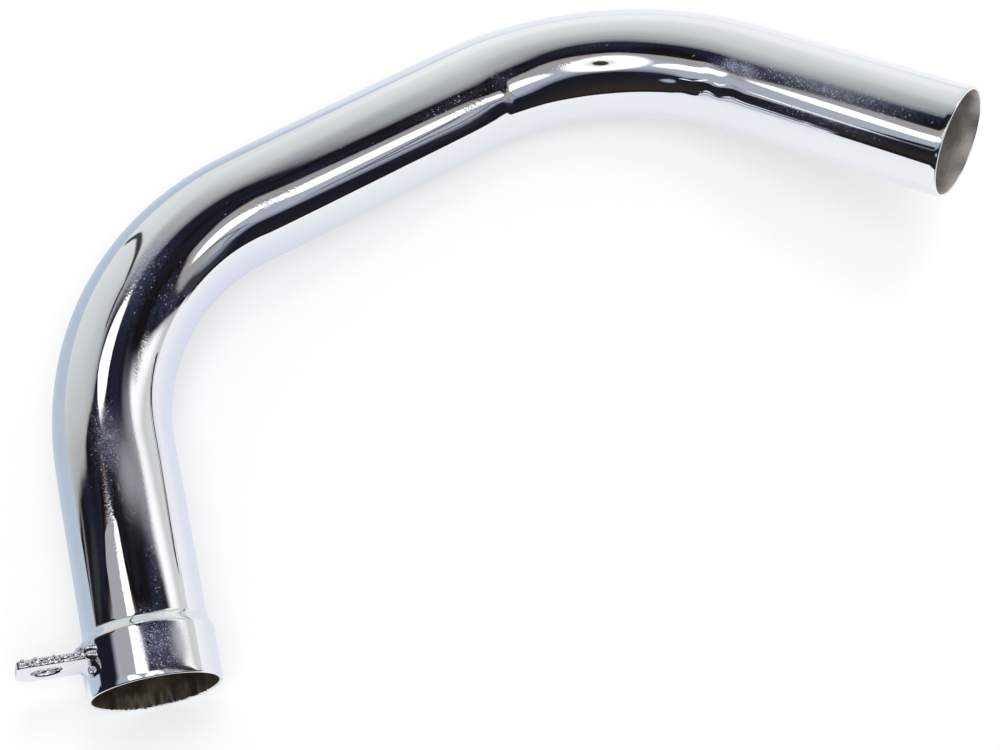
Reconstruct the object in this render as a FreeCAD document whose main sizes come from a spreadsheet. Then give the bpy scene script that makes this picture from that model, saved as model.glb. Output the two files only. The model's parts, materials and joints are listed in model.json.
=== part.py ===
import FreeCAD, Part
import math
import os
import Sketcher

# Chromed exhaust elbow of a motorbike: one steel tube bent twice, in two planes, with its inlet end
# swaged out to a socket that slips over the next pipe. A flat lug is welded to the side of the socket.
# Everything is drawn in the socket's frame (mouth at the origin, +Z along the tube), then laid down
# the way the elbow comes to rest on a flat surface.

doc = FreeCAD.newDocument("exhaust_elbow")

# Driving dimensions, in millimetres and degrees
sheet = doc.addObject("Spreadsheet::Sheet", "Sizes")
SIZES = (
    ("tube_od", "38", "outside diameter of the tube"),
    ("wall", "1.2", "wall thickness of the tube and of its socket"),
    ("inlet_leg", "57.1", "straight from the socket's shoulder to the first bend"),
    ("first_bend_radius", "84.2", "centreline radius of the bend next to the socket"),
    ("first_bend_angle", "69.8", "turn of the bend next to the socket"),
    ("middle_leg", "87.9", "straight between the two bends"),
    ("bend_twist", "-26.5", "turn of the second bend's plane about the middle straight"),
    ("second_bend_radius", "90.4", "centreline radius of the bend next to the outlet"),
    ("second_bend_angle", "66.2", "turn of the bend next to the outlet"),
    ("outlet_leg", "77.4", "straight from the second bend to the plain outlet end"),
    ("rim_chamfer", "0.35", "breaking of the cut edges at both mouths"),
    ("socket_bore", "38.5", "inside diameter of the socket, a slip fit over the next pipe"),
    ("socket_depth", "16.5", "length of the socket's straight wall"),
    ("shoulder_length", "3", "length of the cone from the socket down to the tube"),
    ("shoulder_round", "1.2", "rounding where the cone meets the socket and the tube"),
    ("lug_clock", "-175.7", "direction of the lug about the socket, from the first bend's inner side"),
    ("lug_setback", "11.3", "socket mouth to the near face of the lug"),
    ("lug_thickness", "2.5", "thickness of the lug's plate"),
    ("lug_width", "17.5", "width of the lug"),
    ("lug_length", "19.5", "how far the lug stands out from the socket"),
    ("lug_upper_corner", "1.5", "rounding of the lug's upper free corner"),
    ("lug_lower_corner", "6", "rounding of the lug's lower free corner"),
    ("lug_hole_diameter", "9.5", "bolt hole through the lug"),
    ("lug_hole_inset", "9", "free end of the lug to the centre of its hole"),
    ("weld_leg", "2.8", "leg of the weld bead round the root of the lug"),
    ("weld_crown_radius", "3.2", "radius of the bead's rounded face"),
    ("lie_yaw", "18.5", "resting attitude, turn about the vertical"),
    ("lie_pitch", "6.63", "resting attitude, turn about the turned Y axis"),
    ("lie_roll", "-85.22", "resting attitude, turn about the turned X axis"),
)
for row, (alias, value, meaning) in enumerate(SIZES, start=1):
    sheet.set(f"A{row}", alias)
    sheet.set(f"B{row}", value)
    sheet.setAlias(f"B{row}", alias)
    sheet.set(f"C{row}", meaning)
doc.recompute()

ORIGIN = (-1, 1)
H_AXIS = -1
START, END, CENTRE = range(1, 4)
NORMAL = FreeCAD.Vector(0, 0, 1)
SOCKET_RADIUS = "(Sizes.socket_bore / 2 + Sizes.wall)"
NEAR = 1e-4


def new_body(label):
    body = doc.addObject("PartDesign::Body", label)
    body.Label = label
    return body


def new_sketch(body, name, plane, offset):
    """A sketch on one of the body's origin planes, moved in that plane's frame by an expression."""
    sketch = body.newObject("Sketcher::SketchObject", name)
    support = next(item for item in body.Origin.OriginFeatures if item.Role == plane)
    sketch.AttachmentSupport = [(support, "")]
    sketch.MapMode = "FlatFace"
    if offset:
        sketch.setExpression("AttachmentOffset", offset)
    doc.recompute()
    return sketch


def moved(x="0", y="0", z="0"):
    return f"placement(vector({x}; {y}; {z}); rotation(vector(0; 0; 1); 0))"


def turned(axis, angle):
    return f"placement(vector(0; 0; 0); rotation(vector({axis}); {angle}))"


def dimension(sketch, name, expression, kind, *where):
    """A named dimension of the sketch, bound to the sheet."""
    value = sketch.evalExpression(expression)
    value = getattr(value, "Value", value)
    index = sketch.addConstraint(Sketcher.Constraint(kind, *where, value))
    sketch.renameConstraint(index, name)
    sketch.setExpression(f"Constraints.{name}", expression)


def outline(sketch, points):
    """Closed outline of straight lines through the points, joined end to end."""
    corners = [FreeCAD.Vector(x, y, 0) for x, y in points]
    lines = []
    for start, end in zip(corners, corners[1:] + corners[:1]):
        lines.append(sketch.addGeometry(Part.LineSegment(start, end)))
    for line, following in zip(lines, lines[1:] + lines[:1]):
        sketch.addConstraint(Sketcher.Constraint("Coincident", line, END, following, START))
    return lines


def tube_section(sketch, off_axis=None):
    """The tube's ring section, on the sketch's origin or at a bend radius to the left of it."""
    left = sheet.get(off_axis) if off_axis else 0.0
    for name, size in (("outer", "Sizes.tube_od / 2"), ("inner", "Sizes.tube_od / 2 - Sizes.wall")):
        centre = FreeCAD.Vector(-left, 0, 0)
        ring = sketch.addGeometry(Part.Circle(centre, NORMAL, sheet.tube_od / 2))
        if off_axis:
            sketch.addConstraint(Sketcher.Constraint("PointOnObject", ring, CENTRE, H_AXIS))
            dimension(sketch, f"{name}_offset", f"Sizes.{off_axis}", "DistanceX", ring, CENTRE, *ORIGIN)
        else:
            sketch.addConstraint(Sketcher.Constraint("Coincident", ring, CENTRE, *ORIGIN))
        dimension(sketch, f"{name}_radius", size, "Radius", ring)


def revolved(body, name, sketch, angle):
    feature = body.newObject("PartDesign::Revolution", name)
    feature.Profile = sketch
    feature.ReferenceAxis = (sketch, ["V_Axis"])
    feature.setExpression("Angle", angle)
    doc.recompute()
    return feature


def padded(body, name, sketch, length):
    feature = body.newObject("PartDesign::Pad", name)
    feature.Profile = sketch
    feature.setExpression("Length", length)
    doc.recompute()
    return feature


def dressed(body, kind, name, edges, size, expression):
    """A fillet or chamfer on the edges of the body's last feature that the test picks out."""
    base = body.Tip
    picked = [f"Edge{i}" for i, edge in enumerate(base.Shape.Edges, start=1) if edges(edge)]
    feature = body.newObject(kind, name)
    feature.Base = (base, picked)
    feature.setExpression(size, expression)
    doc.recompute()
    return feature


def rounded(body, name, edges, radius):
    return dressed(body, "PartDesign::Fillet", name, edges, "Radius", radius)


def chamfered(body, name, edges, size):
    return dressed(body, "PartDesign::Chamfer", name, edges, "Size", size)


def circle_round(place, radii):
    """Test for circular edges about a frame's origin with one of the radii."""
    def test(edge):
        if not isinstance(edge.Curve, Part.Circle):
            return False
        centred = (edge.Curve.Center - place.Base).Length < NEAR
        return centred and min(abs(edge.Curve.Radius - radius) for radius in radii) < NEAR
    return test


# Elbow tube: socket, shoulder and first straight are one revolved wall; each bend is the ring section
# swung about the bend's centre, and each later straight is the ring section pushed along its length
tube = new_body("elbow_tube")

LEG_START = "(Sizes.socket_depth + Sizes.shoulder_length)"
LEG_END = "(Sizes.socket_depth + Sizes.shoulder_length + Sizes.inlet_leg)"
TUBE_RADIUS = "Sizes.tube_od / 2"
TUBE_BORE = "(Sizes.tube_od / 2 - Sizes.wall)"

wall_section = new_sketch(tube, "SocketWall", "XZ_Plane", "")
socket_radius = sheet.socket_bore / 2 + sheet.wall
tube_radius = sheet.tube_od / 2
bore_radius = tube_radius - sheet.wall
leg_start = sheet.socket_depth + sheet.shoulder_length
leg_end = leg_start + sheet.inlet_leg
outer_socket, outer_cone, outer_leg, leg_face, inner_leg, inner_cone, inner_socket, mouth_face = outline(
    wall_section,
    (
        (socket_radius, 0),
        (socket_radius, sheet.socket_depth),
        (tube_radius, leg_start),
        (tube_radius, leg_end),
        (bore_radius, leg_end),
        (bore_radius, leg_start),
        (sheet.socket_bore / 2, sheet.socket_depth),
        (sheet.socket_bore / 2, 0),
    ),
)
for line in (outer_socket, outer_leg, inner_leg, inner_socket):
    wall_section.addConstraint(Sketcher.Constraint("Vertical", line))
for line in (leg_face, mouth_face):
    wall_section.addConstraint(Sketcher.Constraint("Horizontal", line))
wall_section.addConstraint(Sketcher.Constraint("PointOnObject", outer_socket, START, H_AXIS))
for name, expression, line in (
    ("socket_outside", SOCKET_RADIUS, outer_socket),
    ("tube_outside", TUBE_RADIUS, outer_leg),
    ("tube_inside", TUBE_BORE, inner_leg),
    ("socket_inside", "Sizes.socket_bore / 2", inner_socket),
):
    dimension(wall_section, name, expression, "DistanceX", *ORIGIN, line, START)
for name, expression, line in (
    ("outer_cone_start", "Sizes.socket_depth", outer_cone),
    ("outer_leg_start", LEG_START, outer_leg),
    ("leg_end", LEG_END, leg_face),
    ("inner_leg_start", LEG_START, inner_cone),
    ("inner_cone_start", "Sizes.socket_depth", inner_socket),
):
    dimension(wall_section, name, expression, "DistanceY", *ORIGIN, line, START)
revolved(tube, "SocketAndInletLeg", wall_section, "360")

first_bend = new_sketch(tube, "FirstBendSection", "XY_Plane", moved(x="Sizes.first_bend_radius", z=LEG_END))
tube_section(first_bend, "first_bend_radius")
revolved(tube, "FirstBend", first_bend, "Sizes.first_bend_angle")

middle = new_sketch(
    tube,
    "MiddleLegSection",
    "XY_Plane",
    "FirstBendSection.AttachmentOffset * "
    + turned("0; 1; 0", "Sizes.first_bend_angle") + " * " + moved(x="-Sizes.first_bend_radius"),
)
tube_section(middle)
padded(tube, "MiddleLeg", middle, "Sizes.middle_leg")

second_bend = new_sketch(
    tube,
    "SecondBendSection",
    "XY_Plane",
    "MiddleLegSection.AttachmentOffset * " + moved(z="Sizes.middle_leg") + " * "
    + turned("0; 0; 1", "Sizes.bend_twist") + " * " + moved(x="Sizes.second_bend_radius"),
)
tube_section(second_bend, "second_bend_radius")
revolved(tube, "SecondBend", second_bend, "Sizes.second_bend_angle")

outlet = new_sketch(
    tube,
    "OutletLegSection",
    "XY_Plane",
    "SecondBendSection.AttachmentOffset * "
    + turned("0; 1; 0", "Sizes.second_bend_angle") + " * " + moved(x="-Sizes.second_bend_radius"),
)
tube_section(outlet)
padded(tube, "OutletLeg", outlet, "Sizes.outlet_leg")


def along_socket(distance):
    return FreeCAD.Placement(FreeCAD.Vector(0, 0, distance), FreeCAD.Rotation())


at_socket_end = circle_round(along_socket(sheet.socket_depth), (socket_radius, sheet.socket_bore / 2))
at_cone_end = circle_round(along_socket(leg_start), (tube_radius, bore_radius))
rounded(tube, "ShoulderRounding", lambda edge: at_socket_end(edge) or at_cone_end(edge), "Sizes.shoulder_round")

outlet_mouth = outlet.Placement * along_socket(sheet.outlet_leg)
at_inlet_rim = circle_round(along_socket(0), (socket_radius, sheet.socket_bore / 2))
at_outlet_rim = circle_round(outlet_mouth, (tube_radius, bore_radius))
chamfered(tube, "RimChamfer", lambda edge: at_inlet_rim(edge) or at_outlet_rim(edge), "Sizes.rim_chamfer")

# Mounting lug: a flat plate square to the socket, its root cut to the socket's curve, with one bolt hole
lug = new_body("mounting_lug")

LUG_TIP = SOCKET_RADIUS + " + Sizes.lug_length"
LUG_FRAME = moved(z="Sizes.lug_setback") + " * " + turned("0; 0; 1", "Sizes.lug_clock")
half_width = sheet.lug_width / 2
root_x = (socket_radius ** 2 - half_width ** 2) ** 0.5
lug_tip = socket_radius + sheet.lug_length

plate = new_sketch(lug, "LugOutline", "XY_Plane", LUG_FRAME)
lower_root = FreeCAD.Vector(root_x, -half_width, 0)
lower_tip = FreeCAD.Vector(lug_tip, -half_width, 0)
upper_tip = FreeCAD.Vector(lug_tip, half_width, 0)
upper_root = FreeCAD.Vector(root_x, half_width, 0)
lower_side = plate.addGeometry(Part.LineSegment(lower_root, lower_tip))
free_end = plate.addGeometry(Part.LineSegment(lower_tip, upper_tip))
upper_side = plate.addGeometry(Part.LineSegment(upper_tip, upper_root))
root_middle = FreeCAD.Vector(socket_radius, 0, 0)
root = plate.addGeometry(Part.Arc(lower_root, root_middle, upper_root))
plate.addConstraint(Sketcher.Constraint("Coincident", lower_side, END, free_end, START))
plate.addConstraint(Sketcher.Constraint("Coincident", free_end, END, upper_side, START))
plate.addConstraint(Sketcher.Constraint("Coincident", upper_side, END, root, END))
plate.addConstraint(Sketcher.Constraint("Coincident", lower_side, START, root, START))
plate.addConstraint(Sketcher.Constraint("Coincident", root, CENTRE, *ORIGIN))
plate.addConstraint(Sketcher.Constraint("Horizontal", lower_side))
plate.addConstraint(Sketcher.Constraint("Horizontal", upper_side))
plate.addConstraint(Sketcher.Constraint("Vertical", free_end))
dimension(plate, "root_radius", SOCKET_RADIUS, "Radius", root)
dimension(plate, "lower_half", "Sizes.lug_width / 2", "DistanceY", lower_side, START, *ORIGIN)
dimension(plate, "upper_half", "Sizes.lug_width / 2", "DistanceY", *ORIGIN, upper_side, START)
dimension(plate, "tip", LUG_TIP, "DistanceX", *ORIGIN, free_end, START)
hole_centre = FreeCAD.Vector(lug_tip - sheet.lug_hole_inset, 0, 0)
hole = plate.addGeometry(Part.Circle(hole_centre, NORMAL, sheet.lug_hole_diameter / 2))
plate.addConstraint(Sketcher.Constraint("PointOnObject", hole, CENTRE, H_AXIS))
dimension(plate, "hole_place", LUG_TIP + " - Sizes.lug_hole_inset", "DistanceX", *ORIGIN, hole, CENTRE)
dimension(plate, "hole_radius", "Sizes.lug_hole_diameter / 2", "Radius", hole)
padded(lug, "LugPlate", plate, "Sizes.lug_thickness")


def lug_corner(corner):
    """Test for the lug's free corner edge through a point of its outline."""
    place = plate.Placement.multVec(corner)

    def test(edge):
        return isinstance(edge.Curve, Part.Line) and edge.distToShape(Part.Vertex(place))[0] < NEAR and (
            edge.tangentAt(edge.FirstParameter).cross(NORMAL).Length < NEAR
        )
    return test


rounded(lug, "UpperCorner", lug_corner(upper_tip), "Sizes.lug_upper_corner")
rounded(lug, "LowerCorner", lug_corner(lower_tip), "Sizes.lug_lower_corner")

# Lug weld: a rounded fillet bead behind the root of the lug that turns down both of the lug's sides
weld = new_body("lug_weld")

LUG_BACK = "(Sizes.lug_setback + Sizes.lug_thickness)"
bead = new_sketch(weld, "BeadSection", "XZ_Plane", turned("0; 1; 0", "Sizes.lug_clock"))
lug_back = sheet.lug_setback + sheet.lug_thickness
inner_corner = FreeCAD.Vector(socket_radius, lug_back, 0)
on_lug = FreeCAD.Vector(socket_radius + sheet.weld_leg, lug_back, 0)
on_socket = FreeCAD.Vector(socket_radius, lug_back + sheet.weld_leg, 0)
chord_middle = (on_lug + on_socket) * 0.5
bulge = FreeCAD.Vector(1, 1, 0).normalize() * (sheet.weld_crown_radius - (
    sheet.weld_crown_radius ** 2 - sheet.weld_leg ** 2 / 2) ** 0.5)
foot = bead.addGeometry(Part.LineSegment(inner_corner, on_lug))
crown = bead.addGeometry(Part.Arc(on_lug, chord_middle + bulge, on_socket))
back = bead.addGeometry(Part.LineSegment(on_socket, inner_corner))
bead.addConstraint(Sketcher.Constraint("Coincident", foot, END, crown, START))
bead.addConstraint(Sketcher.Constraint("Coincident", crown, END, back, START))
bead.addConstraint(Sketcher.Constraint("Coincident", back, END, foot, START))
bead.addConstraint(Sketcher.Constraint("Horizontal", foot))
bead.addConstraint(Sketcher.Constraint("Vertical", back))
dimension(bead, "corner_radius", SOCKET_RADIUS, "DistanceX", *ORIGIN, foot, START)
dimension(bead, "corner_height", LUG_BACK, "DistanceY", *ORIGIN, foot, START)
dimension(bead, "foot_leg", "Sizes.weld_leg", "DistanceX", foot, START, foot, END)
dimension(bead, "back_leg", "Sizes.weld_leg", "DistanceY", back, END, back, START)
dimension(bead, "crown_radius", "Sizes.weld_crown_radius", "Radius", crown)
back_bead = revolved(
    weld,
    "BackBead",
    bead,
    f"2 * (asin(Sizes.lug_width / 2 / {SOCKET_RADIUS}) + Sizes.weld_leg / {SOCKET_RADIUS} * 1 rad)",
)
back_bead.Midplane = True

side = new_sketch(weld, "SideBeadOutline", "XY_Plane", LUG_FRAME)
root_angle = math.asin(half_width / socket_radius)
toe_angle = root_angle + 2 * math.asin(sheet.weld_leg / 2 / socket_radius)


def on_socket_circle(angle):
    return FreeCAD.Vector(socket_radius * math.cos(angle), socket_radius * math.sin(angle), 0)


side_toe = upper_root + FreeCAD.Vector(sheet.weld_leg, 0, 0)
socket_toe = on_socket_circle(toe_angle)
crown_chord = socket_toe - side_toe
crown_rise = sheet.weld_crown_radius - (sheet.weld_crown_radius ** 2 - crown_chord.Length ** 2 / 4) ** 0.5
crown_middle = (side_toe + socket_toe) * 0.5 + crown_chord.cross(NORMAL).normalize() * crown_rise
side_foot = side.addGeometry(Part.LineSegment(upper_root, side_toe))
side_crown = side.addGeometry(Part.Arc(side_toe, crown_middle, socket_toe))
side_root = side.addGeometry(Part.Arc(upper_root, on_socket_circle((root_angle + toe_angle) / 2), socket_toe))
side.addConstraint(Sketcher.Constraint("Coincident", side_foot, END, side_crown, START))
side.addConstraint(Sketcher.Constraint("Coincident", side_crown, END, side_root, END))
side.addConstraint(Sketcher.Constraint("Coincident", side_root, START, side_foot, START))
side.addConstraint(Sketcher.Constraint("Coincident", side_root, CENTRE, *ORIGIN))
side.addConstraint(Sketcher.Constraint("Horizontal", side_foot))
dimension(side, "root_radius", SOCKET_RADIUS, "Radius", side_root)
dimension(side, "lug_side", "Sizes.lug_width / 2", "DistanceY", *ORIGIN, side_foot, START)
dimension(side, "side_leg", "Sizes.weld_leg", "DistanceX", side_foot, START, side_foot, END)
dimension(side, "socket_leg", "Sizes.weld_leg", "Distance", side_root, START, side_root, END)
dimension(side, "crown_radius", "Sizes.weld_crown_radius", "Radius", side_crown)
side_bead = padded(weld, "SideBead", side, "Sizes.lug_thickness")
both_sides = weld.newObject("PartDesign::Mirrored", "BothSideBeads")
both_sides.Originals = [side_bead]
both_sides.MirrorPlane = (side, ["H_Axis"])
weld.Tip = both_sides
doc.recompute()

# Resting place: the elbow lies on the surface, with the origin under the middle of its box
pieces = (tube, lug, weld)
attitude = FreeCAD.Rotation(sheet.lie_yaw, sheet.lie_pitch, sheet.lie_roll)
for body in pieces:
    body.Placement = FreeCAD.Placement(FreeCAD.Vector(), attitude)
doc.recompute()
box = FreeCAD.BoundBox()
for body in pieces:
    box.add(body.Shape.optimalBoundingBox(False, False))
below_middle = FreeCAD.Vector(box.Center.x, box.Center.y, box.ZMin)
for body in pieces:
    body.Placement = FreeCAD.Placement(-below_middle, attitude)
doc.recompute()

# Every feature has to be sound before anything is written
for item in doc.Objects:
    if "Invalid" in item.State or "Error" in item.State:
        raise RuntimeError(f"{item.Label} failed: {item.State}")
for body in pieces:
    if body.Shape.isNull() or not body.Shape.isValid() or len(body.Shape.Solids) != 1:
        raise RuntimeError(f"{body.Label} is not one sound solid")

os.makedirs("parts", exist_ok=True)
for body in pieces:
    body.Shape.exportStep(f"parts/{body.Label}.step")
    print(f"{body.Label}: {body.Shape.Volume:.1f} mm3")
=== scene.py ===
import json
import math

import bmesh
import bpy
import numpy as np
from mathutils import Matrix, Vector


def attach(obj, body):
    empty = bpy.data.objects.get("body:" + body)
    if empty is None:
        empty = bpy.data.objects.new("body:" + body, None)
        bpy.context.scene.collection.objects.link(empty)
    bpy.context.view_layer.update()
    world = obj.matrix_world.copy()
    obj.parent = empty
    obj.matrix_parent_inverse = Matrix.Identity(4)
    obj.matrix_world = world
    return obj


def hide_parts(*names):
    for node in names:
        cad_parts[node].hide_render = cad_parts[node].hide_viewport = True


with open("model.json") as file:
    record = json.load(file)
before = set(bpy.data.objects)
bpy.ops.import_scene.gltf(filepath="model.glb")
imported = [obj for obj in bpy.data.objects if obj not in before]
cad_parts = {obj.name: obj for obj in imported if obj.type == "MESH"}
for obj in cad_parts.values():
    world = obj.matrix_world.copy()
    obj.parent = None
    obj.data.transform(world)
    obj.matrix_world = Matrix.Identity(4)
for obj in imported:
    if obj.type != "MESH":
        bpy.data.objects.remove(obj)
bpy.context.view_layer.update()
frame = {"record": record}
bpy.context.scene.view_settings.view_transform = "Standard"

# Elbow tube. One length of drawn steel tube, bent cold in two planes, with its inlet end swaged out to a
# socket. It is polished and chromed outside; the bore stays bare steel, browned in the plating bath.
MM = 0.001
TUBE_RADIUS = 19.0 * MM
WALL = 1.2 * MM
RIM_ROUND = 0.35 * MM
RIM_CHIP = 0.06 * MM
SHOULDER_LENGTH = 3.0 * MM
INLET_LEG = 57.1 * MM
FIRST_BEND_RADIUS = 84.2 * MM
FIRST_BEND_ANGLE = math.radians(69.8)
SECOND_BEND_RADIUS = 90.4 * MM
SECOND_BEND_ANGLE = math.radians(66.2)

mounts = {mount["name"]: mount for mount in frame["record"]["mounts"]}


def mount_size(name, size):
    return mounts[name]["dims"][size] * MM


SOCKET_DEPTH = mount_size("inlet_socket", "length_mm")
SOCKET_RADIUS = mount_size("inlet_socket", "r_mm") + WALL
INLET_STRAIGHT = SOCKET_DEPTH + SHOULDER_LENGTH + INLET_LEG
OUTLET_STRAIGHT = mount_size("outlet_end", "length_mm")

inlet_way = -np.array(mounts["inlet_socket"]["axis"])
mouth = np.array(mounts["inlet_socket"]["pos_m"]) - inlet_way * SOCKET_DEPTH / 2
outlet_way = np.array(mounts["outlet_end"]["axis"])
outlet_mouth = np.array(mounts["outlet_end"]["pos_m"]) + outlet_way * OUTLET_STRAIGHT / 2
first_tangent = FIRST_BEND_RADIUS * math.tan(FIRST_BEND_ANGLE / 2)
second_tangent = SECOND_BEND_RADIUS * math.tan(SECOND_BEND_ANGLE / 2)
first_corner = mouth + inlet_way * (INLET_STRAIGHT + first_tangent)
second_corner = outlet_mouth - outlet_way * (OUTLET_STRAIGHT + second_tangent)
corner_gap = np.linalg.norm(second_corner - first_corner)
middle_way = (second_corner - first_corner) / corner_gap

FIRST_BEND_START = INLET_STRAIGHT
FIRST_BEND_END = FIRST_BEND_START + FIRST_BEND_RADIUS * FIRST_BEND_ANGLE
SECOND_BEND_START = FIRST_BEND_END + corner_gap - first_tangent - second_tangent
SECOND_BEND_END = SECOND_BEND_START + SECOND_BEND_RADIUS * SECOND_BEND_ANGLE
TUBE_LENGTH = SECOND_BEND_END + OUTLET_STRAIGHT


def centreline(stations):
    """Centres and directions of the tube at distances from the socket's mouth."""
    centres = np.empty((len(stations), 3))
    ways = np.empty((len(stations), 3))
    place = mouth
    for start, end, radius, way, next_way in (
        (0.0, FIRST_BEND_START, None, inlet_way, None),
        (FIRST_BEND_START, FIRST_BEND_END, FIRST_BEND_RADIUS, inlet_way, middle_way),
        (FIRST_BEND_END, SECOND_BEND_START, None, middle_way, None),
        (SECOND_BEND_START, SECOND_BEND_END, SECOND_BEND_RADIUS, middle_way, outlet_way),
        (SECOND_BEND_END, TUBE_LENGTH, None, outlet_way, None),
    ):
        here = stations >= start
        gone = (stations[here] - start)[:, None]
        if radius is None:
            centres[here] = place + gone * way
            ways[here] = way
            place = place + (end - start) * way
        else:
            side = next_way - (next_way @ way) * way
            side = side / np.linalg.norm(side)
            turn = gone / radius
            centres[here] = place + radius * (np.sin(turn) * way + (1 - np.cos(turn)) * side)
            ways[here] = np.cos(turn) * way + np.sin(turn) * side
            whole = (end - start) / radius
            place = place + radius * (math.sin(whole) * way + (1 - math.cos(whole)) * side)
    return centres, ways


def ramp(x, start, end):
    """0 before start and 1 after end, with an even slope at both."""
    part = np.clip((x - start) / (end - start), 0.0, 1.0)
    return part * part * (3 - 2 * part)


def hump(x, middle, half_width):
    """1 at the middle, falling evenly to 0 at half_width on either side."""
    return 1 - ramp(np.abs(x - middle), 0.0, half_width)


SHOULDER_EASE = 0.15
BEND_FLATTENING = 0.5 * MM
MIDDLE_SPREAD = 0.1 * MM
BLEND_OUTSIDE = 12 * MM
BLEND_INSIDE = 20 * MM
KINK_STATION = 275.8 * MM
KINK_RISE = 24 * MM
KINK_CREST = 1 * MM
KINK_FALL = 3.4 * MM
KINK_RIDGE = 0.55 * MM
KINK_RIDGE_SPREAD = math.radians(22)
KINK_GROOVE = 0.06 * MM
KINK_GROOVE_REACH = 2.4 * MM
KINK_GROOVE_SPREAD = math.radians(34)
KINK_SIDE = math.radians(41)
RIPPLE_STATION = 364 * MM
RIPPLE_LENGTH = 13 * MM
RIPPLE_HEIGHT = 0.13 * MM
RIPPLE_REACH = 20 * MM
RIPPLE_SIDE = math.radians(64)
RIPPLE_SPREAD = math.radians(36)


def skin_radius(along, around):
    """Outer radius of the tube. around is 0 on top and a quarter turn on the inner side of the bends."""
    shoulder = (along - SOCKET_DEPTH) / SHOULDER_LENGTH
    swage = 1 - 0.5 * (np.clip(shoulder, 0.0, 1.0) + ramp(shoulder, -SHOULDER_EASE, 1 + SHOULDER_EASE))
    radius = TUBE_RADIUS + (SOCKET_RADIUS - TUBE_RADIUS) * swage
    for start, end, spread in (
        (FIRST_BEND_START, FIRST_BEND_END, -BEND_FLATTENING),
        (FIRST_BEND_END, SECOND_BEND_START, MIDDLE_SPREAD),
    ):
        here = ramp(along, start - BLEND_OUTSIDE, start + BLEND_INSIDE)
        here = here * ramp(along, end + BLEND_OUTSIDE, end - BLEND_INSIDE)
        radius = radius + spread * here * np.sin(around) ** 2
    before_kink = ramp(along, KINK_STATION - KINK_RISE, KINK_STATION - KINK_CREST) ** 2
    ridge = before_kink * ramp(along, KINK_STATION + KINK_FALL, KINK_STATION - KINK_CREST)
    radius = radius + KINK_RIDGE * ridge * hump(around, KINK_SIDE, KINK_RIDGE_SPREAD)
    groove = hump(along, KINK_STATION, KINK_GROOVE_REACH) * hump(around, KINK_SIDE, KINK_GROOVE_SPREAD)
    radius = radius - KINK_GROOVE * groove
    rippled = hump(along, RIPPLE_STATION, RIPPLE_REACH) * hump(around, RIPPLE_SIDE, RIPPLE_SPREAD)
    wave = np.sin(2 * math.pi * (along - RIPPLE_STATION) / RIPPLE_LENGTH)
    return radius + RIPPLE_HEIGHT * rippled * wave


AROUND = 240
RIM_POINTS = 4
FINE_STEP = 0.4 * MM
RIPPLE_STEP = 0.9 * MM
PLAIN_STEP = 1.8 * MM
BORE_STEP = 6.0 * MM
SHOULDER_MARGIN = 2 * MM
KINK_MARGIN = 6 * MM
fine_spans = (
    (SOCKET_DEPTH - SHOULDER_MARGIN, SOCKET_DEPTH + SHOULDER_LENGTH + SHOULDER_MARGIN, FINE_STEP),
    (KINK_STATION - KINK_MARGIN, KINK_STATION + KINK_MARGIN, FINE_STEP),
    (RIPPLE_STATION - RIPPLE_REACH, RIPPLE_STATION + RIPPLE_REACH, RIPPLE_STEP),
)


def spaced(start, end, step):
    return np.linspace(start, end, max(2, round((end - start) / step)), endpoint=False)


outer_stations = []
reached = RIM_ROUND
for fine_start, fine_end, step in fine_spans:
    outer_stations += [spaced(reached, fine_start, PLAIN_STEP), spaced(fine_start, fine_end, step)]
    reached = fine_end
outer_stations.append(spaced(reached, TUBE_LENGTH - RIM_ROUND, PLAIN_STEP))
outer_stations = np.concatenate(outer_stations)
bore_stations = spaced(RIM_ROUND, TUBE_LENGTH - RIM_ROUND, BORE_STEP)[:0:-1]
corner_turn = np.linspace(0, math.pi / 2, RIM_POINTS)
rim_reach = RIM_ROUND * (1 - np.sin(corner_turn))
rim_depth = RIM_ROUND * (1 - np.cos(corner_turn))
rim_stations = np.concatenate([rim_reach, rim_reach[::-1]])
rim_depths = np.concatenate([rim_depth, WALL - rim_depth[::-1]])
row_stations = np.concatenate([
    outer_stations, TUBE_LENGTH - rim_stations[:-1], bore_stations, rim_stations[::-1][:-1]])
row_depths = np.concatenate([
    np.zeros(len(outer_stations)), rim_depths[:-1], np.full(len(bore_stations), WALL), rim_depths[::-1][:-1]])
bore_first = len(outer_stations) + len(rim_stations) - 1
bore_last = bore_first + len(bore_stations)

centres, ways = centreline(row_stations)
ups = np.array((0.0, 0.0, 1.0)) - ways[:, 2:] * ways
ups /= np.linalg.norm(ups, axis=1, keepdims=True)
inners = np.cross(ways, ups)
around = np.linspace(-math.pi, math.pi, AROUND, endpoint=False)
radii = skin_radius(row_stations[:, None], around[None, :]) - row_depths[:, None]
outwards = np.cos(around)[None, :, None] * ups[:, None] + np.sin(around)[None, :, None] * inners[:, None]
skin = centres[:, None] + radii[:, :, None] * outwards
rim_first = len(row_stations) - len(rim_stations) + 1
chips = np.random.default_rng(11).normal(0.0, 1.0, (len(rim_stations) - 1, AROUND))
on_lower_lip = ramp(np.abs(around), math.radians(95), math.radians(150))
chips = RIM_CHIP * (chips + np.roll(chips, 1, axis=1)) * on_lower_lip
skin[rim_first:] += chips[:, :, None] * (inlet_way + outwards[rim_first:])

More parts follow.
